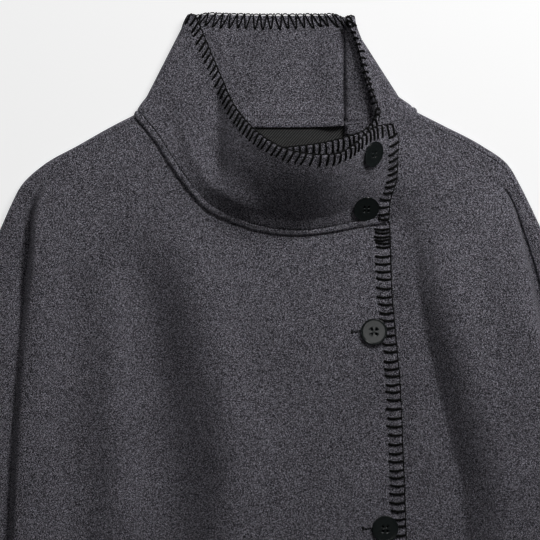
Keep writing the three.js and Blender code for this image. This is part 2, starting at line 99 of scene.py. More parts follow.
def soft_light(name, place, aim, size, power):
    lamp = bpy.data.lights.new(name, "AREA")
    lamp.shape = "RECTANGLE"
    lamp.size, lamp.size_y = (side * mm for side in size)
    lamp.energy = power
    holder = bpy.data.objects.new(name, lamp)
    holder.location = Vector(place) * mm
    holder.rotation_euler = (Vector(aim) - Vector(place)).to_track_quat("-Z", "Y").to_euler()
    scene.collection.objects.link(holder)


for light in LIGHTS:
    soft_light(*light)

world = bpy.data.worlds.new("studio")
world.use_nodes = True
feed(world.node_tree.nodes["Background"], {"Color": (1, 1, 1, 1), "Strength": ROOM_LIGHT})
scene.world = world
scene.view_settings.view_transform = "Standard"

camera_lens = bpy.data.cameras.new("camera")
camera_lens.sensor_width = SENSOR_WIDTH
camera_lens.lens = SENSOR_WIDTH * CAMERA_HEIGHT / PICTURE_WIDTH
camera_lens.clip_end = 20
camera = bpy.data.objects.new("camera", camera_lens)
camera.location = Vector((*PICTURE_CENTRE, CAMERA_HEIGHT)) * mm
scene.collection.objects.link(camera)
scene.camera = camera

# Cloth and back: thick grey melange melton. The back is one panel that lies on the paper and turns over at
# the sides into the fronts. Its wall is the cloth's thickness, and its edges sink a little into the seams.
CLOTH = 2.5
SEAM_GAP = 0.3
ROLL_RADIUS = 4.0
LAP_GAP = 1.6
HALF_HEM_WIDTH = 480.0
HALF_LENGTH = 422.4
HEM_RISE = 45.0
BACK_LEVEL = CLOTH / 2
FRONT_LEVEL = BACK_LEVEL + 2 * ROLL_RADIUS
LOWEST_FRONT = 1.5 * CLOTH + 0.7
OUTLINE_INSET = ROLL_RADIUS + CLOTH / 2
UP = np.array((0.0, 0.0, 1.0))

LEFT_OUTLINE = (
    (-121, 332), (-143, 321), (-175, 303), (-206, 285.5), (-226, 267), (-235.5, 249), (-243.5, 231),
    (-351, -30), (-HALF_HEM_WIDTH, HEM_RISE - HALF_LENGTH),
)
RIGHT_OUTLINE = (
    (124.7, 335), (151.5, 321.5), (187, 303), (211, 285.5), (222, 267), (231, 249), (239.5, 231),
    (348, -30), (HALF_HEM_WIDTH, HEM_RISE - HALF_LENGTH),
)
LEFT_NECK_OUT = (-0.707, 0.707, 0)
RIGHT_NECK_OUT = (0.646, 0.763, 0)
BACK_NECK = ((-60, 325), (0, 323.5), (60, 324.5))
NECK_REACH = 0.16
NECK_TURN = 0.06
OUTLINE_STEP = 0.004
BODY_ROWS = np.linspace(0, 1, 141) ** 1.25
ROLL_STEPS = 9
BACK_STEPS = 90
HEM_BEND = 12
STEEPEST_SLANT, LEAST_CROSSING = 0.9, 0.2


def smooth(start, end, value):
    """Smoothstep from 0 at start to 1 at end, whichever is the larger."""
    t = np.clip((value - start) / (end - start), 0, 1)
    return t * t * (3 - 2 * t)


def mix(a, b, share):
    return a + (b - a) * share


def bump(distance, wide):
    """A soft bump: 1 in its middle and about a third of that at its width."""
    return np.exp(-((distance / wide) ** 2))


def unit(v):
    return v / np.linalg.norm(v, axis=-1, keepdims=True)


def between(start, end, start_slope, end_slope, t):
    """A smooth cubic from start to end at a share t, with a given slope at each end."""
    return (
        start * (2 * t**3 - 3 * t**2 + 1) + start_slope * (t**3 - 2 * t**2 + t)
        + end * (3 * t**2 - 2 * t**3) + end_slope * (t**3 - t**2)
    )


def smooth_line(rows):
    """A smooth line through rows of x, y and perhaps z, from 0 at its first row to 1 at its last."""
    points = np.array([(*row, 0)[:3] for row in rows], float)
    steps = np.diff(points, axis=0)
    spans = np.linalg.norm(steps, axis=1)
    chords = steps / spans[:, None]
    total = (spans[:-1] + spans[1:])[:, None]
    inner = chords[:-1] * spans[1:, None] / total + chords[1:] * spans[:-1, None] / total
    slopes = np.vstack([chords[:1], inner, chords[-1:]])
    ends = np.concatenate([[0], np.cumsum(spans)])

    def at(share):
        run = np.clip(share, 0, 1) * ends[-1]
        i = np.clip(np.searchsorted(ends, run, side="left") - 1, 0, len(spans) - 1)
        span = np.asarray(spans[i])[..., None]
        t = np.asarray(run - ends[i])[..., None] / span
        return between(points[i], points[i + 1], slopes[i] * span, slopes[i + 1] * span, t)

    return at


def hem_y(x):
    return HEM_RISE * (x / HALF_HEM_WIDTH) ** 2 - HALF_LENGTH


def outline_roll(outline, neck_out, side):
    """The axis in plan of the rolled edge at a share of the outline, and the way outwards."""
    line = smooth_line(outline)

    def at(share):
        along = unit(line(min(1, share + OUTLINE_STEP)) - line(max(0, share - OUTLINE_STEP)))
        out = np.array((-along[1] * side, along[0] * side, 0))
        out = unit(mix(out, np.array(neck_out), 1 - smooth(0, NECK_TURN, share)))
        return line(share) - out * OUTLINE_INSET, out

    return at


left_roll = outline_roll(LEFT_OUTLINE, LEFT_NECK_OUT, -1)
right_roll = outline_roll(RIGHT_OUTLINE, RIGHT_NECK_OUT, 1)


def roll_points(axis, out, turns, radius=ROLL_RADIUS):
    """Points round a roll and the way its wall faces there: turn 0 is underneath and 1 on top."""
    angles = math.pi * np.asarray(turns)[:, None]
    facing = out * np.sin(angles) - UP * np.cos(angles)
    centre = np.array((axis[0], axis[1], BACK_LEVEL + radius))
    return centre + facing * radius, facing


def near_neck(share):
    return max(0, 1 - share / NECK_REACH) ** 2


def grid_facing(points, turned):
    """The way a grid of points faces, from its neighbours across and along."""
    across = np.gradient(points, axis=1)
    along = np.gradient(points, axis=0)
    return unit(np.cross(across, along)) * (-1 if turned else 1)


class Sheet:
    """A grid of middle points of one cloth piece, with the way each faces."""

    def __init__(self, points, turned, fixed=None):
        self.points = points
        self.facing = grid_facing(points, turned)
        self.given = np.zeros(points.shape[:2], bool)
        if fixed is not None:
            self.given, values = fixed
            self.facing = np.where(self.given[..., None], values, self.facing)
        self.turned = turned

    def push(self, height):
        """Moves every point along its facing by a height in millimetres."""
        self.points = self.points + self.facing * np.asarray(height)[..., None]

    def border(self, rows, columns, along_rows):
        """The strip along an edge, as lines that start on the edge and run into the cloth."""
        points, facing = self.points[rows, columns], self.facing[rows, columns]
        if along_rows:
            points, facing = points.transpose(1, 0, 2), facing.transpose(1, 0, 2)
        return Border(points, facing)


class Border:
    """A strip of cloth along an edge, with places by the run along it and the depth into the cloth."""

    def __init__(self, points, facing):
        self.points, self.facing = points, facing
        steps = np.linalg.norm(np.diff(points[:, 0], axis=0), axis=1)
        self.runs = np.concatenate([[0], np.cumsum(steps)])
        self.depths = run_along(points, 1)
        self.inward = unit(points[:, 1] - points[:, 0])
        self.length = self.runs[-1]

    def step_at(self, run):
        return min(max(int(np.searchsorted(self.runs, run)) - 1, 0), len(self.runs) - 2)

    def slant(self, run, way):
        """Distance along the edge per distance into the cloth, for a line that points a given way."""
        i = self.step_at(run)
        along = unit(self.points[i + 1, 0, :2] - self.points[i, 0, :2])
        inward = unit(self.inward[i, :2])
        across, share = np.linalg.det([way, inward]), np.linalg.det([along, way])
        if abs(share) < LEAST_CROSSING:
            return 0.0
        return float(np.clip(across / share, -STEEPEST_SLANT, STEEPEST_SLANT))

    def at(self, run, depth, lift):
        """A place in millimetres, lifted off the cloth's middle; a depth below 0 is outside the edge."""
        i = self.step_at(run)
        t = (run - self.runs[i]) / (self.runs[i + 1] - self.runs[i])

        def on_line(j):
            inner = max(depth, 0)
            place, facing = (
                np.array([np.interp(inner, self.depths[j], grid[j, :, k]) for k in range(3)])
                for grid in (self.points, self.facing)
            )
            return place + min(depth, 0) * self.inward[j], facing

        (here, facing_here), (there, facing_there) = on_line(i), on_line(i + 1)
        return mix(here, there, t) + unit(mix(facing_here, facing_there, t)) * lift


def make_object(name, mesh_edit, material):
    """An object from a bmesh, smooth shaded, riding on the coat's one body."""
    mesh = bpy.data.meshes.new(name)
    mesh_edit.to_mesh(mesh)
    mesh_edit.free()
    mesh.shade_smooth()
    mesh.materials.append(material)
    made = bpy.data.objects.new(name, mesh)
    scene.collection.objects.link(made)
    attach(made, "root")
    return made


def cloth_object(name, sheet, thickness, material):
    """A wall of cloth: a plane grid laid onto a sheet's points, and thickened to both sides."""
    rows, columns = sheet.points.shape[:2]
    cloth = bmesh.new()
    bmesh.ops.create_grid(cloth, x_segments=columns - 1, y_segments=rows - 1, size=1)
    cloth.verts.ensure_lookup_table()
    flat = sheet.points.reshape(-1, 3) * mm
    for vertex, place in zip(cloth.verts, flat):
        vertex.co = place
    if np.dot(np.array(cloth.faces[:][0].normal), sheet.facing[0, 0]) < 0:
        bmesh.ops.reverse_faces(cloth, faces=cloth.faces[:])
    made = make_object(name, cloth, material)
    wall = made.modifiers.new("thickness", "SOLIDIFY")
    wall.thickness = thickness * mm
    wall.offset = 0
    wall.use_even_offset = False
    return made


def back_sheet():
    neck_line = smooth_line((left_roll(0)[0][:2], *BACK_NECK, right_roll(0)[0][:2]))
    turns = np.linspace(1, 0, ROLL_STEPS)
    across = np.linspace(0, 1, BACK_STEPS)[1:-1]
    rows, facings = [], []
    for share in BODY_ROWS:
        (left, left_out), (right, right_out) = left_roll(share), right_roll(share)
        flat = mix(left, right, across[:, None])
        level = mix(left_roll(0)[0], right_roll(0)[0], across[:, None])
        flat = flat + (neck_line(across) - level) * near_neck(share)
        flat[:, 1] += (hem_y(flat[:, 0]) - flat[:, 1]) * share**HEM_BEND
        flat[:, 2] = BACK_LEVEL
        over_left, left_facing = roll_points(left, left_out, turns)
        over_right, right_facing = roll_points(right, right_out, turns[::-1])
        rows.append(np.vstack([over_left, flat, over_right]))
        facings.append(np.vstack([left_facing, np.tile(-UP, (len(flat), 1)), right_facing]))
    facings = np.array(facings)
    return Sheet(np.array(rows), False, (np.ones(facings.shape[:2], bool), facings))


def node(tree, kind, values=(), **settings):
    made = tree.nodes.new(kind)
    for setting, value in settings.items():
        setattr(made, setting, value)
    feed(made, values)
    return made


def object_place(tree):
    return node(tree, "ShaderNodeTexCoord").outputs["Object"]


def fine_noise(tree, values):
    return node(tree, "ShaderNodeTexNoise", values).outputs["Fac"]


def spread(tree, value, limits):
    """A value spread between limits, each named as on the Map Range node."""
    return node(tree, "ShaderNodeMapRange", {"Value": value, **limits}).outputs[0]


def join(tree, a, b, operation):
    return node(tree, "ShaderNodeMath", {0: a, 1: b}, operation=operation).outputs[0]


def blend(tree, share, low, high):
    """The colour between two that a share gives."""
    return node(tree, "ShaderNodeMix", {0: share, 6: low, 7: high}, data_type="RGBA").outputs[2]


def relief(tree, height, strength, rise):
    """A bumpy normal of a given rise in millimetres."""
    values = {"Height": height, "Strength": strength, "Distance": rise * mm}
    return node(tree, "ShaderNodeBump", values).outputs[0]


# The melange is mixed here once: light and dark flecks over the middle shade.
FLECK_STRETCH = 1.15
FLECK_WAYS = (((0.3, 0.2, 0.4), 0), ((0.2, 0.5, 1.5), 31), ((0.6, 0.1, 2.5), 67))
LIGHT_FLECKS = {"From Min": 0.59, "From Max": 0.65}
DARK_FLECKS = {"From Min": 0.46, "From Max": 0.37}
FLECK_CLOUD = {"Scale": 0.62, "Detail": 2.0, "Roughness": 0.7, "Distortion": 0.2}
SLOW_CHANGE = {"From Min": 0.3, "From Max": 0.7, "To Min": 0.93, "To Max": 1.07}


def melange_group():
    """Wool felted from light and dark fibres: flecks lie every way, over a slow change of shade."""
    group = bpy.data.node_groups.new("melange", "ShaderNodeTree")
    face = group.interface
    face.new_socket("Fleck Size", in_out="INPUT", socket_type="NodeSocketFloat").default_value = 1.0
    for shade_name in ("Light", "Middle", "Dark"):
        face.new_socket(shade_name, in_out="INPUT", socket_type="NodeSocketColor")
    face.new_socket("Color", in_out="OUTPUT", socket_type="NodeSocketColor")
    face.new_socket("Height", in_out="OUTPUT", socket_type="NodeSocketFloat")
    given = node(group, "NodeGroupInput").outputs
    place = object_place(group)
    size = join(group, given["Fleck Size"], mm, "MULTIPLY")
    scaled = node(group, "ShaderNodeVectorMath", {0: place, 1: size}, operation="DIVIDE").outputs[0]

    def flecks(turn, offset):
        """Soft streaks of fibre along one direction."""
        values = {
            "Vector": scaled, "Rotation": turn, "Scale": (FLECK_STRETCH, 1, 1), "Location": (offset, 0, 0),
        }
        turned = node(group, "ShaderNodeMapping", values, vector_type="TEXTURE").outputs[0]
        return fine_noise(group, {"Vector": turned, **FLECK_CLOUD})

    ways = [flecks(turn, offset) for turn, offset in FLECK_WAYS]
    lightest, darkest = (
        join(group, join(group, ways[0], ways[1], operation), ways[2], operation)
        for operation in ("MAXIMUM", "MINIMUM")
    )
    light, dark = spread(group, lightest, LIGHT_FLECKS), spread(group, darkest, DARK_FLECKS)
    shade = blend(group, dark, given["Middle"], given["Dark"])
    tone = blend(group, light, shade, given["Light"])
    slow = spread(group, fine_noise(group, {"Vector": place, "Scale": 22.0, "Detail": 2.0}), SLOW_CHANGE)
    clouded = node(group, "ShaderNodeVectorMath", {0: tone, "Scale": slow}, operation="SCALE").outputs[0]
    node(group, "NodeGroupOutput", {"Color": clouded, "Height": join(group, light, dark, "SUBTRACT")})
    return group


melange = melange_group()
NAP_HEIGHT = 0.25
WOOL_SHADES = {
    "Fleck Size": 0.44, "Light": (0.64, 0.62, 0.71, 1), "Middle": (0.045, 0.0425, 0.053, 1),
    "Dark": (0.0015, 0.0015, 0.0025, 1),
}


def wool_look(tree):
    wool = node(tree, "ShaderNodeGroup", WOOL_SHADES, node_tree=melange).outputs
    return {
        "Base Color": wool["Color"], "Normal": relief(tree, wool["Height"], 0.5, NAP_HEIGHT),
        "Roughness": 0.95, "Specular IOR Level": 0.12,
        "Sheen Weight": 0.12, "Sheen Roughness": 0.5, "Sheen Tint": (0.8, 0.8, 0.86, 1),
    }


WOOL = new_material("melange_wool", wool_look)


def seam_dip(distance, depth=0.7, width=1.6):
    """How far a cut edge sinks where it turns down into its seam."""
    return -depth * bump(distance, width)


def run_along(points, axis):
    """Distance in millimetres along one way of a grid, from its start."""
    steps = np.linalg.norm(np.diff(points, axis=axis), axis=2)
    lead = np.zeros_like(np.take(steps, [0], axis=axis))
    return np.cumsum(np.concatenate([lead, steps], axis=axis), axis=axis)


back = back_sheet()
from_left = run_along(back.points, 1)
from_side = np.minimum(from_left, from_left[:, -1:] - from_left)
back.push(seam_dip(from_side))
back_cloth = cloth_object("wool_back", back, CLOTH, WOOL)
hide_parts("back")

# Fronts: two panels of the same cloth. The one at the viewer's left lies over the other. Each falls from the
# shoulder in soft folds, and in one deep fold near its side. They join the back at the shoulders and sides.
SOFT_FOLDS = (
    # starts at y, x where y is 200, 0 and at the hem, width at 200 and at the hem, rise, on the upper front
    (245, -124, -101, -111, 31, 49, -20, 1),
    (255, -67, -35, -41, 24, 39, 10, 1),
    (230, -182, -180, -188, 29, 40, -14, 1),
    (225, -142, -134, -142, 16, 25, 6, 1),
    (285, 101, 144, 172, 33, 53, -32, 0),
    (245, 149, 203, 232, 24, 36, 9, 0),
    (60, 60, 66, 72, 30, 38, 3, 1),
)
FOLD_HIGH_Y = 200
FOLD_FADE_IN = 90
HEM_DEEPER = 1.2
SEAM_REACH = 50
SWELL_AT_NECK, SWELL_BELOW = 4.0, 14.0
SWELL_FROM_Y, SWELL_FULL_Y = 260, 130
LAP_FROM_X, LAP_FULL_X = -68, -30
SETTLE_SOFTNESS = 1.5
LAP_EDGE = (
    (102.6, 237.6), (104, 213), (104.9, 177), (107.6, 141), (111.9, 96), (114.8, 33), (117.8, -48),
    (125, -422),
)
UNDER_EDGE = ((-20, 233), (-14, -48), (-8, -425))
LEFT_SHOULDER_FOLD = (
    (-93, 296), (-148, 286), (-197, 273), (-211, 255), (-218, 204), (-222.5, 150), (-230, 51),
    (-235, -48), (-252, -413),
)
RIGHT_SHOULDER_FOLD = (
    (98, 302), (152, 288), (196, 274), (212, 254), (223, 222), (237, 159), (248, 78), (262, -48),
    (305, -407),
)
FOLD_SECTION = (
    # out across the fold, up from its valley
    (-14, 1), (-10, 1), (-7, 0.97), (-5, 0.87), (-3.5, 0.68), (-2.2, 0.42), (-1, 0.12), (0.2, -0.18),
    (1.4, -0.38), (2.8, -0.45), (4.4, -0.4), (6.5, -0.25), (10, -0.08), (14, 0),
)
FOLD_REACH = -FOLD_SECTION[0][0]
FULL_FOLD_ROOM = 45.0
FOLD_START = 0.11
FOLD_FULL = 0.22
FOLD_SHOULDER_WIDE = 34.0
FOLD_BODY_RISE = 8.0
FOLD_ARM_DROP = 3.0
FOLD_LINE_STEP = 0.01
SECTION_GROWS = 3
BODY_STEPS, FOLD_STEPS, ARM_STEPS = 100, 53, 40
LAP_NECK = (
    (-103, 310.5), (-88.7, 288), (-73.8, 267.3), (-58, 250.2), (-36.5, 238.8), (-13.5, 230.8),
    (19.4, 226.8), (52.7, 229.5), (77.9, 234.4), (102.6, 237.6),
)
UNDER_NECK = ((107, 312), (92, 289), (77, 268.5), (60, 251.5), (38, 240), (12, 233.5), (-20, 233))
UNEVEN_RISE, UNEVEN_WIDE, UNEVEN_LONG, UNEVEN_SLICE = 0.5, 55, 80, 3.7
UNEVEN_FROM_EDGE = 30


def fold_lift(x, y, lapped):
    """Height that a front's swell over the body and its soft folds add at a place in plan."""
    total = mix(SWELL_AT_NECK, SWELL_BELOW, smooth(SWELL_FROM_Y, SWELL_FULL_Y, y))
    for start, x_high, x_middle, x_hem, wide_high, wide_hem, rise, on_lapped in SOFT_FOLDS:
        if lapped and not on_lapped:
            continue
        above, below = mix(x_middle, x_high, y / FOLD_HIGH_Y), mix(x_middle, x_hem, -y / HALF_LENGTH)
        wide = mix(wide_high, wide_hem, smooth(FOLD_HIGH_Y, -HALF_LENGTH, y))
        grown = smooth(start, start - FOLD_FADE_IN, y) * mix(1, HEM_DEEPER, smooth(0, -HALF_LENGTH, y))
        total = total + rise * grown * bump(x - np.where(y > 0, above, below), wide)
    return total


def clear_of_seam(plan, seam):
    return smooth(0, SEAM_REACH, np.linalg.norm(plan[..., :2] - seam[:2], axis=-1))


def free_height(plan, seam, lapped):
    """Height of a front's middle before it settles on what is under it."""
    return FRONT_LEVEL + clear_of_seam(plan, seam) * fold_lift(plan[..., 0], plan[..., 1], lapped)


def settled_height(free, plan, seam, lapped):
    """Height once the cloth rests on the back, or on the other front where it laps over that."""
    over = free - LOWEST_FRONT
    settled = LOWEST_FRONT + (over + np.sqrt(over**2 + SETTLE_SOFTNESS)) / 2
    on_front = smooth(LAP_FROM_X, LAP_FULL_X, plan[..., 0]) * clear_of_seam(plan, seam)
    return settled + (CLOTH + LAP_GAP) * on_front if lapped else settled


def bent_line(points):
    """A line straight from point to point, from 0 at its first point to 1 at its last."""
    points = np.array(points)
    ends = np.concatenate([[0], np.cumsum(np.linalg.norm(np.diff(points, axis=0), axis=1))])

    def at(share):
        return np.stack([np.interp(share * ends[-1], ends, points[:, k]) for k in range(3)], -1)

    return at


def fold_section(steps):
    """The deep fold's section at even steps from its body's side to its arm's: out, up and evenly across."""
    table = np.array(FOLD_SECTION)
    last = len(table) - 1
    index = np.linspace(0, last, steps)
    low = np.clip(index.astype(int), 0, last - 1)
    t = (index - low)[:, None]
    before, after = np.maximum(low - 1, 0), np.minimum(low + 2, last)
    start_slope = (table[low + 1] - table[before]) / (low + 1 - before)[:, None]
    end_slope = (table[after] - table[low]) / (after - low)[:, None]
    out_up = between(table[low], table[low + 1], start_slope, end_slope, t)
    return out_up[:, 0], out_up[:, 1], np.linspace(-1, 1, steps)


def front_sheet(edge, fold, roll, neck, lapped):
    """A front from its free edge over the body, through the deep fold and over the arm to the seam."""
    edge_line, fold_line = smooth_line(edge), smooth_line(fold)
    section_out, section_up, section_even = fold_section(FOLD_STEPS)

    def seam_at(share):
        axis, out = roll(share)
        return axis - out * SEAM_GAP

    neck_line = smooth_line((*neck[::-1], seam_at(0)[:2]))
    columns = BODY_STEPS + FOLD_STEPS + ARM_STEPS
    run = np.linspace(0, 1, columns)
    body_run = np.arange(BODY_STEPS) / BODY_STEPS
    arm_run = np.arange(1, ARM_STEPS + 1) / ARM_STEPS
    body = slice(0, BODY_STEPS)
    across = slice(BODY_STEPS, BODY_STEPS + FOLD_STEPS)
    arm = slice(BODY_STEPS + FOLD_STEPS, columns)

    def row_at(share):
        seam, centre = seam_at(share), fold_line(share)
        ahead, behind = min(1, share + FOLD_LINE_STEP), max(0, share - FOLD_LINE_STEP)
        along = unit(fold_line(ahead) - fold_line(behind))
        side = math.copysign(1, seam[0])
        out = np.array((-along[1] * side, along[0] * side, 0))
        reach = FOLD_REACH * min(1, np.linalg.norm(centre[:2] - seam[:2]) / FULL_FOLD_ROOM)
        depth = smooth(FOLD_START, FOLD_FULL, share)
        body_end, arm_start = centre - out * reach, centre + out * reach
        section = mix(section_even * reach, section_out, depth)
        plan = np.vstack([
            mix(edge_line(share), body_end, body_run[:, None]),
            centre + out * section[:, None],
            mix(arm_start, seam, arm_run[:, None]),
        ])
        return plan, bent_line([edge_line(share), centre, seam]), seam, depth, body_end, arm_start

    first_even = row_at(0)[1]
    last_plan = row_at(1)[0]
    hem_shift = hem_y(last_plan[:, 0]) - last_plan[:, 1]
    hem_shift[-1] = 0
    neck_weight = np.minimum(1, np.arange(columns) / BODY_STEPS) ** 2
    rows = []
    for share in BODY_ROWS:
        plan, even, seam, depth, body_end, arm_start = row_at(share)
        curved = mix((1 - share) ** 2, near_neck(share), neck_weight)[:, None]
        plan = mix(plan, even(run), near_neck(share)) + (neck_line(run) - first_even(run)) * curved
        plan[:, 1] += hem_shift * share**3
        body_side = free_height(body_end, seam, lapped) + FOLD_BODY_RISE * depth
        arm_side = max(LOWEST_FRONT, free_height(arm_start, seam, lapped) - FOLD_ARM_DROP * depth)
        z = free_height(plan, seam, lapped)
        beside = bump(np.linalg.norm(plan[:, :2] - body_end[:2], axis=1), FOLD_SHOULDER_WIDE)
        z[body] += FOLD_BODY_RISE * depth * beside[body]
        z[across] = mix(z[across], mix(arm_side, body_side, section_up), min(1, SECTION_GROWS * depth))
        z[arm] -= FOLD_ARM_DROP * depth * (1 - arm_run) ** 2
        plan[:, 2] = settled_height(z, plan, seam, lapped)
        plan[-1, 2] = FRONT_LEVEL
        rows.append(plan)
    points = np.array(rows)
    upright = np.zeros(points.shape[:2], bool)
    upright[0], upright[:, -1] = True, True
    return Sheet(points, not lapped, (upright, UP))


def dress_front(sheet):
    """Edges sink into the seams, and the cloth has the slight unevenness of steamed wool."""
    from_neck = run_along(sheet.points, 0)
    from_edge = run_along(sheet.points, 1)
    from_seam = from_edge[:, -1:] - from_edge
    flat = sheet.points.reshape(-1, 3)
    places = [Vector((x / UNEVEN_WIDE, y / UNEVEN_LONG, UNEVEN_SLICE)) for x, y, _ in flat]
    fade = smooth(0, UNEVEN_FROM_EDGE, np.minimum(from_seam, from_neck))
    uneven = fade * np.reshape([noise.noise(place) for place in places], fade.shape)
    sheet.push(seam_dip(from_neck) + seam_dip(from_seam) + UNEVEN_RISE * uneven)


lap_front = front_sheet(LAP_EDGE, LEFT_SHOULDER_FOLD, left_roll, LAP_NECK, True)
under_front = front_sheet(UNDER_EDGE, RIGHT_SHOULDER_FOLD, right_roll, UNDER_NECK, False)
lap_neck_row = lap_front.points[0].copy()
under_neck_row = under_front.points[0].copy()
dress_front(lap_front)
dress_front(under_front)
lap_cloth = cloth_object("wool_front_lapped", lap_front, CLOTH, WOOL)
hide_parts("front_lapped")
under_cloth = cloth_object("wool_front_under", under_front, CLOTH, WOOL)
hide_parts("front_under")

# Collar: one tall strip of the same cloth, sewn round the whole neck. It stands open above the seam, folds
# over at both sides, and its end laps over the hidden one. Stitches hold the seam's turnings down.
COLLAR_UNDER_TOP = (
    (-12, 294, 52), (9.5, 298, 59), (39, 301.5, 62), (65, 308, 51), (85, 317.5, 34), (93.5, 331, 28),
    (89.5, 347, 24), (81.5, 370, 20), (75.5, 393, 17),
)
COLLAR_BACK_TOP = ((56, 420), (0, 419.5), (-60, 421))
COLLAR_LAP_TOP = (
    (-64.5, 405, 13), (-57, 387, 13.5), (-46.5, 362, 17), (-36.5, 339.5, 27), (-22.5, 320.5, 46),
    (-5, 305, 65), (14, 295.5, 76), (36, 291.5, 81), (56, 292.5, 79), (69, 299, 70), (80, 309.5, 58),
    (91, 317.5, 44), (106, 320, 32),
)
RIGHT_TOP_AXIS, RIGHT_TOP_OUT, RIGHT_TOP_RADIUS = (66, 416.4), (0.97, 0.22, 0), 7
LEFT_TOP_AXIS, LEFT_TOP_OUT, LEFT_TOP_RADIUS = (-70, 418.5), (-0.97, 0.22, 0), 5
COLLAR_SECTION = (
    # share of the cloth from seam to upper edge, of the way across, of the height
    (0, 0, 0), (0.05, 0.05, 0.02), (0.15, 0.13, 0.14), (0.3, 0.27, 0.33), (0.5, 0.47, 0.57),
    (0.7, 0.67, 0.78), (0.85, 0.83, 0.91), (1, 1, 1),
)
STAND_HEIGHT = 26.0
RIGHT_HOLLOW = 9.0
FRONT_COLUMNS, ROLL_COLUMNS, BACK_COLUMNS = 110, 17, 96
CLOSE_TO_SEAM, CLOSE_ROWS, OPEN_ROWS = 0.13, 19, 42
SEAM_ROWS = np.concatenate([
    np.linspace(0, CLOSE_TO_SEAM, CLOSE_ROWS)[:-1], np.linspace(CLOSE_TO_SEAM, 1, OPEN_ROWS),
])
SECTION_STEPS = 2001


def collar_sheet():
    """The strip from the hidden end round the neck to the lapped end, in rows from its seam upwards."""
    turns = np.linspace(1, 0, ROLL_COLUMNS)
    (left, left_out), (right, right_out) = left_roll(0), right_roll(0)
    right_foot, right_facing = roll_points(right, right_out, turns)
    left_foot, left_facing = roll_points(left, left_out, turns[::-1])
    back_share = np.linspace(1, 0, BACK_COLUMNS)
    back_foot = smooth_line((left[:2], *BACK_NECK, right[:2]))(back_share)[1:-1]
    back_foot[:, 2] = BACK_LEVEL
    front_run = np.linspace(0, 1, FRONT_COLUMNS)
    foot = np.vstack([
        bent_line(under_neck_row[:-1])(front_run), right_foot, back_foot, left_foot,
        bent_line(lap_neck_row[:-1])(front_run)[::-1],
    ])
    down = np.tile(-UP, (len(back_foot), 1))
    upward = np.tile(UP, (FRONT_COLUMNS, 1))
    foot_facing = np.vstack([upward, right_facing, down, left_facing, upward])
    right_top, right_top_facing = roll_points(
        RIGHT_TOP_AXIS, unit(np.array(RIGHT_TOP_OUT)), turns, RIGHT_TOP_RADIUS)
    left_top, left_top_facing = roll_points(
        LEFT_TOP_AXIS, unit(np.array(LEFT_TOP_OUT)), turns[::-1], LEFT_TOP_RADIUS)
    back_top = smooth_line(COLLAR_BACK_TOP)(np.linspace(0, 1, len(back_foot)))
    back_top[:, 2] = BACK_LEVEL
    top = np.vstack([
        smooth_line(COLLAR_UNDER_TOP)(front_run), right_top, back_top, left_top,
        smooth_line(COLLAR_LAP_TOP)(front_run),
    ])
    top_facing = np.vstack([upward, right_top_facing, down, left_top_facing, upward])
    columns = len(foot)
    on_roll = np.zeros(columns, bool)
    on_roll[FRONT_COLUMNS:columns - FRONT_COLUMNS] = True
    on_right = np.zeros(columns, bool)
    on_right[FRONT_COLUMNS:FRONT_COLUMNS + ROLL_COLUMNS] = True

    gap = SEAM_GAP / 4 / np.linalg.norm(top - foot, axis=1)
    start = mix(foot, top, gap[:, None])
    start[:, 2] = foot[:, 2]
    stand = np.where(on_roll, 0, smooth(0, STAND_HEIGHT, top[:, 2] - foot[:, 2]))
    curve = smooth_line(COLLAR_SECTION)(np.linspace(0, 1, SECTION_STEPS))
    rows, facings = [], []
    for cloth in SEAM_ROWS:
        across, rise = (np.interp(cloth, curve[:, 0], curve[:, k]) for k in (1, 2))
        point = mix(start, top, mix(cloth, across, stand)[:, None])
        point[:, 2] = mix(start[:, 2], top[:, 2], mix(cloth, rise, stand))
        hollow = RIGHT_HOLLOW * top_facing[:, 0] * 4 * cloth * (1 - cloth)
        point -= np.array(RIGHT_TOP_OUT) * np.where(on_right, np.maximum(0, hollow), 0)[:, None]
        rows.append(point)
        facings.append(unit(mix(foot_facing, top_facing, cloth)))
    facings = np.array(facings)
    given = np.tile(on_roll, (len(rows), 1))
    given[0] = True
    return Sheet(np.array(rows), False, (given, facings)), on_roll


SEAM_BAND, BACK_SEAM_BAND = 5.4, 9.5
BAND_RISE, BAND_EASE = 0.5, (0.3, 1.6)
TOPSTITCH_DIP, TOPSTITCH_DIP_WIDE = 1.3, 0.9
COLLAR_DIP = (0.6, 1.2)
SEAM_LAP, SEAM_LAP_ROOM = 4.4, 16.0
FACING = {"depth": 52.0, "thickness": 1.0, "widen": 1.12, "tuck": 1.0, "columns": 60, "rows": 30}
FACING_ROOM = 2.4
VALLEY_X, VALLEY_WIDE, VALLEY_DEPTH = -48.5, 8.0, 6.0
VALLEY_Y, VALLEY_FROM_SEAM = (262, 287, 335, 360), (6, 25)
BULGE_X, BULGE_FROM_SEAM, BULGE_WIDE, BULGE_RISE = (-92, -68, -32, -2), 24.0, 12.0, 5.5
END_RISE, END_COLUMNS, END_GROWS, END_LESS, END_LESS_FROM = 5.5, 40, (0.3, 0.58), 0.6, 0.85
LOW_ON_ROLL = (16, 3)
CREASE_X, CREASE_LIFT, CREASE_LEAN, CREASE_DROP, CREASE_REACH = 66.0, 4.0, 2.0, 9.0, 30.0
BEYOND_CREASE, BEFORE_CREASE, LEAN_EASE = (0, 2, 16, CREASE_REACH), (-30, -9, -6, -2), (16, 4)
SWELL_RISE, SLOPE_RISE, SLOPE_WIDE, SLOPE_TO_RIM = 3.5, 8.0, 15.0, (9, 1)
RIM_Y, RIM_X = (331, 393), (93.5, 75.5)


def plateau(value, start, full, last, end):
    """1 from full to last, easing to 0 at start and at end."""
    return smooth(start, full, value) * smooth(end, last, value)


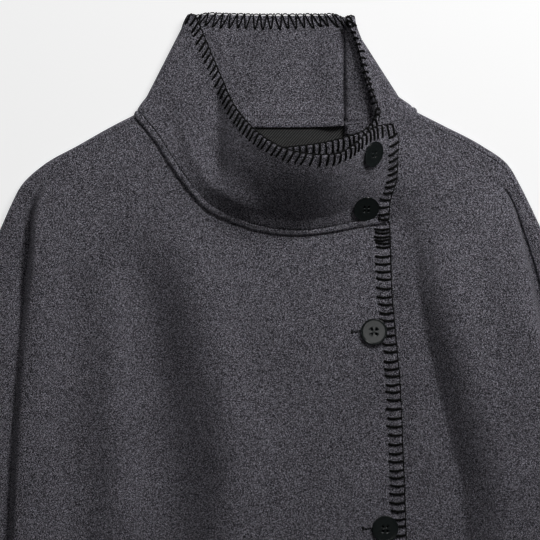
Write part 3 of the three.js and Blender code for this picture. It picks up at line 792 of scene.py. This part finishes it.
def lap_over_seam(sheet, at_back):
    """The strip's foot laps over the fronts that it is sewn to, and over the facing at the back."""
    near_seam = smooth(SEAM_LAP_ROOM, 0, run_along(sheet.points, 0))
    outward = unit(sheet.points[0] - sheet.points[3]) * (1, 1, 0)
    sheet.push((CLOTH + SEAM_GAP) * np.sqrt(near_seam) * ~at_back)
    sheet.points += SEAM_LAP * outward * near_seam[..., None]
    sheet.points[..., 2] += (FACING["thickness"] + FACING_ROOM) * np.sqrt(near_seam) * at_back


def press_band(sheet, from_seam, at_back):
    """The seam's turnings raise a band beside it, and a row of stitches sinks in on its far side."""
    band = np.where(at_back, BACK_SEAM_BAND, SEAM_BAND)
    raised = plateau(from_seam, *BAND_EASE, band - 1, band + BAND_EASE[0])
    height = BAND_RISE * raised - TOPSTITCH_DIP * bump(from_seam - band, TOPSTITCH_DIP_WIDE)
    sheet.push(seam_dip(from_seam, *COLLAR_DIP) * ~at_back + np.where(at_back, -1, 1) * height)


def shape_lapped_side(sheet, x, y, from_seam):
    """A valley up from the seam, a bulge beside its foot, and the rounded end past the buttons."""
    last = x.shape[1] - 1
    to_last = last - np.arange(last + 1)
    lapped = to_last < FRONT_COLUMNS
    valley = bump(x - VALLEY_X, VALLEY_WIDE) * plateau(y, *VALLEY_Y) * smooth(*VALLEY_FROM_SEAM, from_seam)
    sheet.points[..., 2] -= VALLEY_DEPTH * valley * lapped
    sheet.push(BULGE_RISE * plateau(x, *BULGE_X) * bump(from_seam - BULGE_FROM_SEAM, BULGE_WIDE) * lapped)
    share = np.linspace(0, 1, x.shape[0])[:, None]
    rounded = smooth(*END_GROWS, share) * (1 - END_LESS * smooth(END_LESS_FROM, 1, share))
    sheet.points[..., 0] += END_RISE * rounded * np.clip(1 - to_last / END_COLUMNS, 0, 1) ** 2


def shape_hidden_side(sheet, x, y, low, from_seam):
    """At the right the strip swells up to an upright crease, and slopes up to its rim beyond it."""
    past = x - CREASE_X
    beyond = low * plateau(past, *BEYOND_CREASE)
    rising = low * np.clip(past / SLOPE_WIDE, 0, 1) * smooth(*SLOPE_TO_RIM, x - np.interp(y, RIM_Y, RIM_X))
    sheet.points[..., 0] -= CREASE_LEAN * beyond * smooth(*LEAN_EASE, past)
    sheet.points[..., 1] -= CREASE_DROP * beyond * smooth(CREASE_REACH, 0, from_seam)
    swell = SWELL_RISE * low * plateau(past, *BEFORE_CREASE)
    sheet.points[..., 2] += CREASE_LIFT * beyond + swell + SLOPE_RISE * rising


def dress_collar(sheet, on_roll):
    """Everything that sewing and wear add to the plain strip. No part of it sinks into the table."""
    at_back = np.zeros(len(on_roll), bool)
    at_back[FRONT_COLUMNS + ROLL_COLUMNS:-FRONT_COLUMNS - ROLL_COLUMNS] = True
    lap_over_seam(sheet, at_back)
    from_seam = run_along(sheet.points, 0)
    x, y, z = np.moveaxis(sheet.points, -1, 0).copy()
    press_band(sheet, from_seam, at_back)
    shape_lapped_side(sheet, x, y, from_seam)
    shape_hidden_side(sheet, x, y, smooth(*LOW_ON_ROLL, z) * on_roll, from_seam)
    sheet.points[..., 2] = np.maximum(sheet.points[..., 2], BACK_LEVEL)
    sheet.facing = np.where(sheet.given[..., None], sheet.facing, grid_facing(sheet.points, sheet.turned))


collar, collar_on_roll = collar_sheet()
dress_collar(collar, collar_on_roll)
collar_cloth = cloth_object("wool_collar", collar, CLOTH, WOOL)
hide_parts("collar")

# Neck facing: dark twill on the inside of the back, from the neck seam down. It shows inside the collar. A
# wave texture of scale 1 has a rib every pi / 10 metres.
TWILL_PITCH = 1.9
TWILL_SLANT = 42.0
TWILL_SCALE = math.pi / 10 / (TWILL_PITCH * mm)
TWILL_RELIEF = 0.4


def facing_sheet():
    along = np.linspace(0, 1, FACING["columns"])
    neck = smooth_line(BACK_NECK)(1 - along)
    rows = []
    for share in np.linspace(0, 1, FACING["rows"]):
        row = neck.copy()
        row[:, 0] *= FACING["widen"]
        row[:, 1] -= FACING["tuck"] + share * FACING["depth"] * (1 - (2 * along - 1) ** 4)
        row[:, 2] = CLOTH + SEAM_GAP + FACING["thickness"] / 2
        rows.append(row)
    return Sheet(np.array(rows), True)


def twill_look(tree):
    """Slanting ribs broken up by a fine grain."""
    place = object_place(tree)
    values = {"Vector": place, "Rotation": (0, 0, math.radians(TWILL_SLANT))}
    turned = node(tree, "ShaderNodeMapping", values).outputs[0]
    values = {"Vector": turned, "Scale": TWILL_SCALE, "Distortion": 0.8, "Detail": 1.0}
    ribs = node(tree, "ShaderNodeTexWave", values).outputs["Fac"]
    grain = fine_noise(tree, {"Vector": place, "Scale": 1100.0, "Detail": 2.0, "Roughness": 0.7})
    share = spread(tree, join(tree, ribs, grain, "MULTIPLY"), {"From Min": 0.15, "From Max": 0.55})
    colour = blend(tree, share, (0.003, 0.003, 0.003, 1), (0.11, 0.11, 0.11, 1))
    return {"Base Color": colour, "Normal": relief(tree, ribs, 0.8, TWILL_RELIEF), "Roughness": 0.8}


facing = facing_sheet()
twill = new_material("twill_facing", twill_look)
facing_cloth = cloth_object("twill_facing", facing, FACING["thickness"], twill)
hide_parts("neck_facing")

# Blanket stitches: thick black yarn worked over the raw edges by hand. Each turn comes out of its hole, lies
# on the cloth, goes over the rim and down the other side, and a purl of the same yarn runs along the edge.
YARN, FINE_YARN, PURL_YARN = 1.05, 0.68, 0.6
BACK_STITCH = {"pitch": 6.6, "depth": 12.0, "sag": 0, "purl": 1.9}
COLLAR_STITCH = {"pitch": 5.9, "depth": 9.2, "sag": 0.4, "purl": 0.9}
END_STITCH = {"pitch": 6.8, "depth": 8.5, "sag": -0.4, "purl": 0.7}
FRONT_STITCH = {"pitch": 7.3, "depth": 12.2, "sag": 0.9, "purl": 0.7}
CROWDED = {"from": 8.0, "to": 23.0, "pitch": 3.1}
PITCH_VARIES, DEPTH_VARIES, HOLE_STRAYS = (0.88, 1.12), (0.92, 1.06), (-0.9, 0.9)
ZIGZAG_DEPTH_VARIES, ZIGZAG_HOLE_STRAYS, ZIGZAG_RIM_STRAYS = (0.9, 1.06), (-0.5, 0.5), (-0.3, 0.3)
LOOP_VARIES = (0.7, 1.3)
HOLE_DEEPER, HOLE_LIFT = 0.3, 0.2
LEG_END, LEG_ARCH, LEG_BELOW, YARN_LIES = 0.06, 0.25, 0.1, 0.35
RIM_ANGLES, RIM_OUT = np.linspace(0.25, 0.75, 3) * math.pi, 0.8
ZIGZAG_SIDES = (-0.4, 0.4)
FIBRE_RELIEF = 0.15
chance = random.Random(7)


def yarn_look(tree):
    """Matt black yarn: fine fibres across a dark core."""
    values = {"Vector": object_place(tree), "Scale": 2600.0, "Detail": 3.0, "Roughness": 0.7}
    fibre = fine_noise(tree, values)
    return {
        "Base Color": blend(tree, fibre, (0.001, 0.001, 0.001, 1), (0.011, 0.011, 0.011, 1)),
        "Normal": relief(tree, fibre, 0.7, FIBRE_RELIEF), "Roughness": 0.8, "Specular IOR Level": 0.12,
    }


YARN_LOOK = new_material("black_yarn", yarn_look)


def thread_object(name, paths):
    """Round black threads as one mesh, each with its radius and its row of points, all above the table."""
    line = bpy.data.curves.new(name, "CURVE")
    line.dimensions = "3D"
    line.bevel_depth = mm
    line.bevel_resolution = 1
    line.use_fill_caps = True
    for radius, path in paths:
        places = np.array(path)
        places[:, 2] = np.maximum(places[:, 2], radius)
        spline = line.splines.new("POLY")
        spline.points.add(len(path) - 1)
        spline.points.foreach_set("co", np.hstack([places * mm, np.ones((len(path), 1))]).ravel())
        spline.points.foreach_set("radius", np.full(len(path), radius))
    holder = bpy.data.objects.new(name, line)
    tubes = bmesh.new()
    tubes.from_mesh(bpy.data.meshes.new_from_object(holder))
    bpy.data.objects.remove(holder)
    return make_object(name, tubes, YARN_LOOK)


def turn_over_edge(border, hole, rim, depth, sag, yarn):
    """One turn of yarn from its hole over the rim to the hole's other side, sagging in between."""
    lie = CLOTH / 2 + YARN_LIES * yarn
    path = [border.at(hole, depth + HOLE_DEEPER, HOLE_LIFT)]
    for share in np.linspace(1, LEG_END, 6):
        run = mix(rim, hole, share) + sag * 4 * share * (1 - share)
        path.append(border.at(run, depth * share, lie + LEG_ARCH * math.sin(math.pi * share)))
    for angle in RIM_ANGLES:
        path.append(border.at(rim, -RIM_OUT * yarn * math.sin(angle), lie * math.cos(angle)))
    for share in np.linspace(LEG_END, 1, 5):
        path.append(border.at(mix(rim, hole, share), depth * share, -lie - LEG_BELOW))
    path.append(border.at(hole, depth + HOLE_DEEPER, -HOLE_LIFT))
    return yarn, path


def purl(border, rims, stand_off, yarn):
    """The yarn along the edge from turn to turn, in small loops that stand off it."""
    path = []
    for here, there in zip(rims[:-1], rims[1:]):
        path.append(border.at(here, -1.1 * yarn, 0.5 * yarn))
        loop = stand_off * chance.uniform(*LOOP_VARIES)
        path.append(border.at(mix(here, there, 0.35), -yarn - 0.7 * loop, 0.2 * yarn))
        path.append(border.at(mix(here, there, 0.7), -yarn - 0.6 * loop, -0.4 * yarn))
    return [(yarn, path)]


def single_stitches(border, style, way=None, crowded=None):
    """Single turns over an edge, closer where crowded. Their legs point a way, or square to the edge."""
    rims, run = [], style["pitch"] / 2
    while run < border.length - style["pitch"] / 3:
        rims.append(run)
        close = crowded and crowded["from"] < run < crowded["to"]
        run += (crowded["pitch"] if close else style["pitch"]) * chance.uniform(*PITCH_VARIES)
    turns = []
    for rim in rims:
        depth = style["depth"] * chance.uniform(*DEPTH_VARIES)
        slant = border.slant(rim, way(rim / border.length)) if way else 0
        hole = rim + depth * slant + chance.uniform(*HOLE_STRAYS)
        turns.append(turn_over_edge(border, hole, rim, depth, style["sag"], YARN))
    return [*turns, *purl(border, rims, style["purl"], PURL_YARN)]


def zigzag_stitches(border, style):
    """Two turns to each hole, so the legs make a zigzag, as on the back of the collar."""
    count = round(border.length / style["pitch"])
    pitch = border.length / count
    turns, rims = [], []
    for k in range(count):
        hole = (k + 0.5) * pitch + chance.uniform(*ZIGZAG_HOLE_STRAYS)
        depth = style["depth"] * chance.uniform(*ZIGZAG_DEPTH_VARIES)
        for side in ZIGZAG_SIDES:
            rims.append(hole + side * pitch + chance.uniform(*ZIGZAG_RIM_STRAYS))
            turns.append(turn_over_edge(border, hole + side, rims[-1], depth, style["sag"], FINE_YARN))
    return [*turns, *purl(border, rims, style["purl"], PURL_YARN)]


def lapped_way(share):
    """On the lapped collar the legs lean down and to the left, and hang straight near its end."""
    return mix(np.array([-0.5, -0.86]), np.array([0.0, -1.0]), smooth(0.6, 0.8, share))


def under_way(share):
    """On the collar's hidden side they hang straight, and turn level up the right side."""
    return mix(np.array([0.0, -1.0]), np.array([0.95, 0.3]), smooth(0.5, 0.75, share))


def level_way(share):
    """On the front's long edge every leg lies level."""
    return np.array([-1.0, 0.0])


def end_way(share):
    """On the collar's short end they lie level at the seam and lean further down towards the top."""
    return mix(np.array([-1.0, 0.0]), np.array([-0.85, -0.5]), smooth(0.2, 0.6, share))


from_top = slice(None, None, -1)
half_turned = FRONT_COLUMNS + ROLL_COLUMNS // 2
collar_back_edge = collar.border(from_top, slice(half_turned - 1, 1 - half_turned), True)
back_stitches = thread_object("blanket_stitch_collar_back", zigzag_stitches(collar_back_edge, BACK_STITCH))
under_edge = collar.border(from_top, slice(0, half_turned), True)
lapped_edge = collar.border(from_top, slice(-half_turned, None), True)
lap_end = collar.border(slice(None), from_top, False)
collar_stitches = thread_object(
    "blanket_stitch_collar",
    [
        *single_stitches(under_edge, COLLAR_STITCH, under_way),
        *single_stitches(lapped_edge, COLLAR_STITCH, lapped_way),
        *single_stitches(lap_end, END_STITCH, end_way),
    ])
front_edge = lap_front.border(slice(None), slice(0, 60), False)
front_stitches = thread_object(
    "blanket_stitch_front", single_stitches(front_edge, FRONT_STITCH, level_way, CROWDED))
for name, cloth_sheet in (("back", back), ("front_lapped", lap_front), ("front_under", under_front)):
    hem = cloth_sheet.border(slice(None, -12, -1), slice(None), True)
    thread_object(f"blanket_stitch_hem_{name}", single_stitches(hem, FRONT_STITCH))

# Topstitching: a row of machine stitches in dark thread holds the neck seam's turnings to the collar. It
# shows outside on the front and inside on the back.
THREAD = 0.4
STITCH_LENGTH = 2.9
STITCH_GAP = 0.7
STITCH_PLACES = (0, 0.15, 0.85, 1)
STITCH_IN, STITCH_OUT = 0.6, CLOTH / 2 + THREAD * 0.6


def machine_row(border, start, end, depth, side):
    """Even short stitches at one depth from an edge; side is 1 for the outside and -1 for the inside."""
    paths, run = [], start
    while run + STITCH_LENGTH < end:
        places = zip(STITCH_PLACES, (STITCH_IN, STITCH_OUT, STITCH_OUT, STITCH_IN))
        path = [border.at(run + place * STITCH_LENGTH, depth, side * lift) for place, lift in places]
        paths.append((THREAD, path))
        run += STITCH_LENGTH + STITCH_GAP
    return paths


collar_foot = collar.border(slice(0, 40), slice(None), True)
roll_in = collar_foot.runs[FRONT_COLUMNS]
back_in = collar_foot.runs[FRONT_COLUMNS + ROLL_COLUMNS]
back_out = collar_foot.runs[len(collar_on_roll) - FRONT_COLUMNS - ROLL_COLUMNS]
roll_out = collar_foot.runs[len(collar_on_roll) - FRONT_COLUMNS]
topstitching = [
    *machine_row(collar_foot, 2, roll_in, SEAM_BAND, 1),
    *machine_row(collar_foot, back_in, back_out, BACK_SEAM_BAND, -1),
    *machine_row(collar_foot, roll_out, collar_foot.length - 2, SEAM_BAND, 1),
]
topstitch = thread_object("topstitch_neck", topstitching)

# Buttons: five flat discs of black horn with a narrow rim and four holes, sewn on with black thread. They lie
# on the lapped cloth, and the front's three show a buttonhole worked in thread with a bar at its end.
BUTTON_HOLE = 1.1
HOLE_SPACING = 3.8
HOLE_PLACES = [(x * HOLE_SPACING, y * HOLE_SPACING) for x in (-0.5, 0.5) for y in (-0.5, 0.5)]
SEWING_RADIUS, SEWING_HEIGHTS = 0.8 * BUTTON_HOLE, (-0.4, 1.6)
BUTTON_PROFILE = (
    # radius, height
    (0, 0), (9.5, 0), (10.8, 0.7), (11.6, 1.6), (11.8, 2.3), (11.7, 2.75), (11.4, 2.9), (10.9, 2.9),
    (10.5, 2.75), (10.2, 2.6), (9.8, 2.6), (5, 2.6), (0, 2.6),
)
SLOT_LENGTH = 19.0
SLOT_WIDTH, SLOT_BAR = 1.5, 3.6
SLOT_PITCH, SLOT_BAR_PITCH, SLOT_PAST = 0.9, 0.7, 3
SLOT_THREAD = 0.3
SLOT_ARCH = ((-0.5, -0.3), (-0.4, 0.3), (0, 0.35), (0.4, 0.3), (0.5, -0.3))


def horn_look(tree):
    """Polished black horn: slow clouds in its colour and its gloss."""
    values = {"Vector": object_place(tree), "Scale": 420.0, "Detail": 4.0, "Distortion": 1.5}
    cloud = fine_noise(tree, values)
    return {
        "Base Color": blend(tree, cloud, (0.004, 0.0065, 0.0065, 1), (0.013, 0.0175, 0.0175, 1)),
        "Roughness": spread(tree, cloud, {"To Min": 0.12, "To Max": 0.18}),
    }


HORN = new_material("black_horn", horn_look)


def button_mesh():
    """The button's disc, spun from its profile, with the four holes cut through."""
    disc = bmesh.new()
    ring = [disc.verts.new((radius * mm, 0, height * mm)) for radius, height in BUTTON_PROFILE]
    edges = [disc.edges.new(pair) for pair in zip(ring[:-1], ring[1:])]
    bmesh.ops.spin(
        disc, geom=ring + edges, cent=(0, 0, 0), axis=(0, 0, 1), angle=2 * math.pi, steps=56, use_merge=True)
    bmesh.ops.remove_doubles(disc, verts=disc.verts[:], dist=1e-6)
    bmesh.ops.recalc_face_normals(disc, faces=disc.faces[:])
    drills = bmesh.new()
    for x, y in HOLE_PLACES:
        bmesh.ops.create_cone(
            drills, cap_ends=True, segments=20, radius1=BUTTON_HOLE * mm, radius2=BUTTON_HOLE * mm,
            depth=0.02, matrix=Matrix.Translation((x * mm, y * mm, 0)))
    pair = []
    for name, part in (("disc", disc), ("drills", drills)):
        mesh = bpy.data.meshes.new(name)
        part.to_mesh(mesh)
        part.free()
        pair.append(bpy.data.objects.new(name, mesh))
        scene.collection.objects.link(pair[-1])
    cut = pair[0].modifiers.new("holes", "BOOLEAN")
    cut.object = pair[1]
    cut.solver = "EXACT"
    whole = pair[0].evaluated_get(bpy.context.evaluated_depsgraph_get())
    finished = bpy.data.meshes.new_from_object(whole)
    for scrap in pair:
        bpy.data.objects.remove(scrap)
    return finished


def button_pose(name):
    """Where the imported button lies: its base's middle and the way its face looks."""
    corners = np.array([vertex.co for vertex in bpy.data.objects[name].data.vertices])
    middle = corners.mean(axis=0)
    face = Vector(np.linalg.svd(corners - middle, full_matrices=False)[2][2])
    face = face if face.z > 0 else -face
    lowest = min(np.dot(corners - middle, np.array(face)))
    turn = Vector((0, 0, 1)).rotation_difference(face).to_matrix().to_4x4()
    return Matrix.Translation(Vector(middle) + face * lowest) @ turn


disc_mesh = button_mesh()
buttons, sewing = [], []
for number in range(1, 6):
    node_name = f"button_{number}"
    pose = button_pose(node_name)
    disc = bmesh.new()
    disc.from_mesh(disc_mesh)
    bmesh.ops.transform(disc, matrix=pose, verts=disc.verts[:])
    button = make_object(f"horn_button_{number}", disc, HORN)
    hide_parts(node_name)
    threads = []
    for x, y in HOLE_PLACES:
        places = (Vector((x, y, height)) * mm for height in SEWING_HEIGHTS)
        threads.append((SEWING_RADIUS, [np.array(pose @ place) / mm for place in places]))
    buttons.append(button)
    sewing.append(thread_object(f"button_thread_{number}", threads))

shown = bpy.context.evaluated_depsgraph_get()
outer_side = [BVHTree.FromObject(holder, shown) for holder in (collar_cloth, lap_cloth)]


def on_cloth(x, y, lift):
    """A place lifted off the first cloth under it, in millimetres."""
    hits = [tree.ray_cast(Vector((x * mm, y * mm, 1)), Vector((0, 0, -1))) for tree in outer_side]
    place, facing = max((hit[:2] for hit in hits if hit[0] is not None), key=lambda hit: hit[0].z)
    return np.array(place + facing * lift * mm) / mm


buttonholes = []
for number in range(3, 6):
    middle = button_pose(f"button_{number}").translation / mm
    end = middle.x - SLOT_LENGTH
    spots = [(x, SLOT_WIDTH) for x in np.arange(end, middle.x + SLOT_PAST, SLOT_PITCH)]
    spots += [(end - SLOT_BAR_PITCH * step, SLOT_BAR) for step in range(3)]
    for x, width in spots:
        path = [on_cloth(x, middle.y + side * width, lift) for side, lift in SLOT_ARCH]
        buttonholes.append((SLOT_THREAD, path))
slots = thread_object("buttonholes", buttonholes)

# Cut of the cloth: what each piece measured before it was sewn, in metres, and the sewing and buttons that
# stay on it. The fronts are cut to neck, shoulder, side and front edge, the collar and facing to the neck.
on_collar, on_front = slice(0, 2), slice(2, 5)
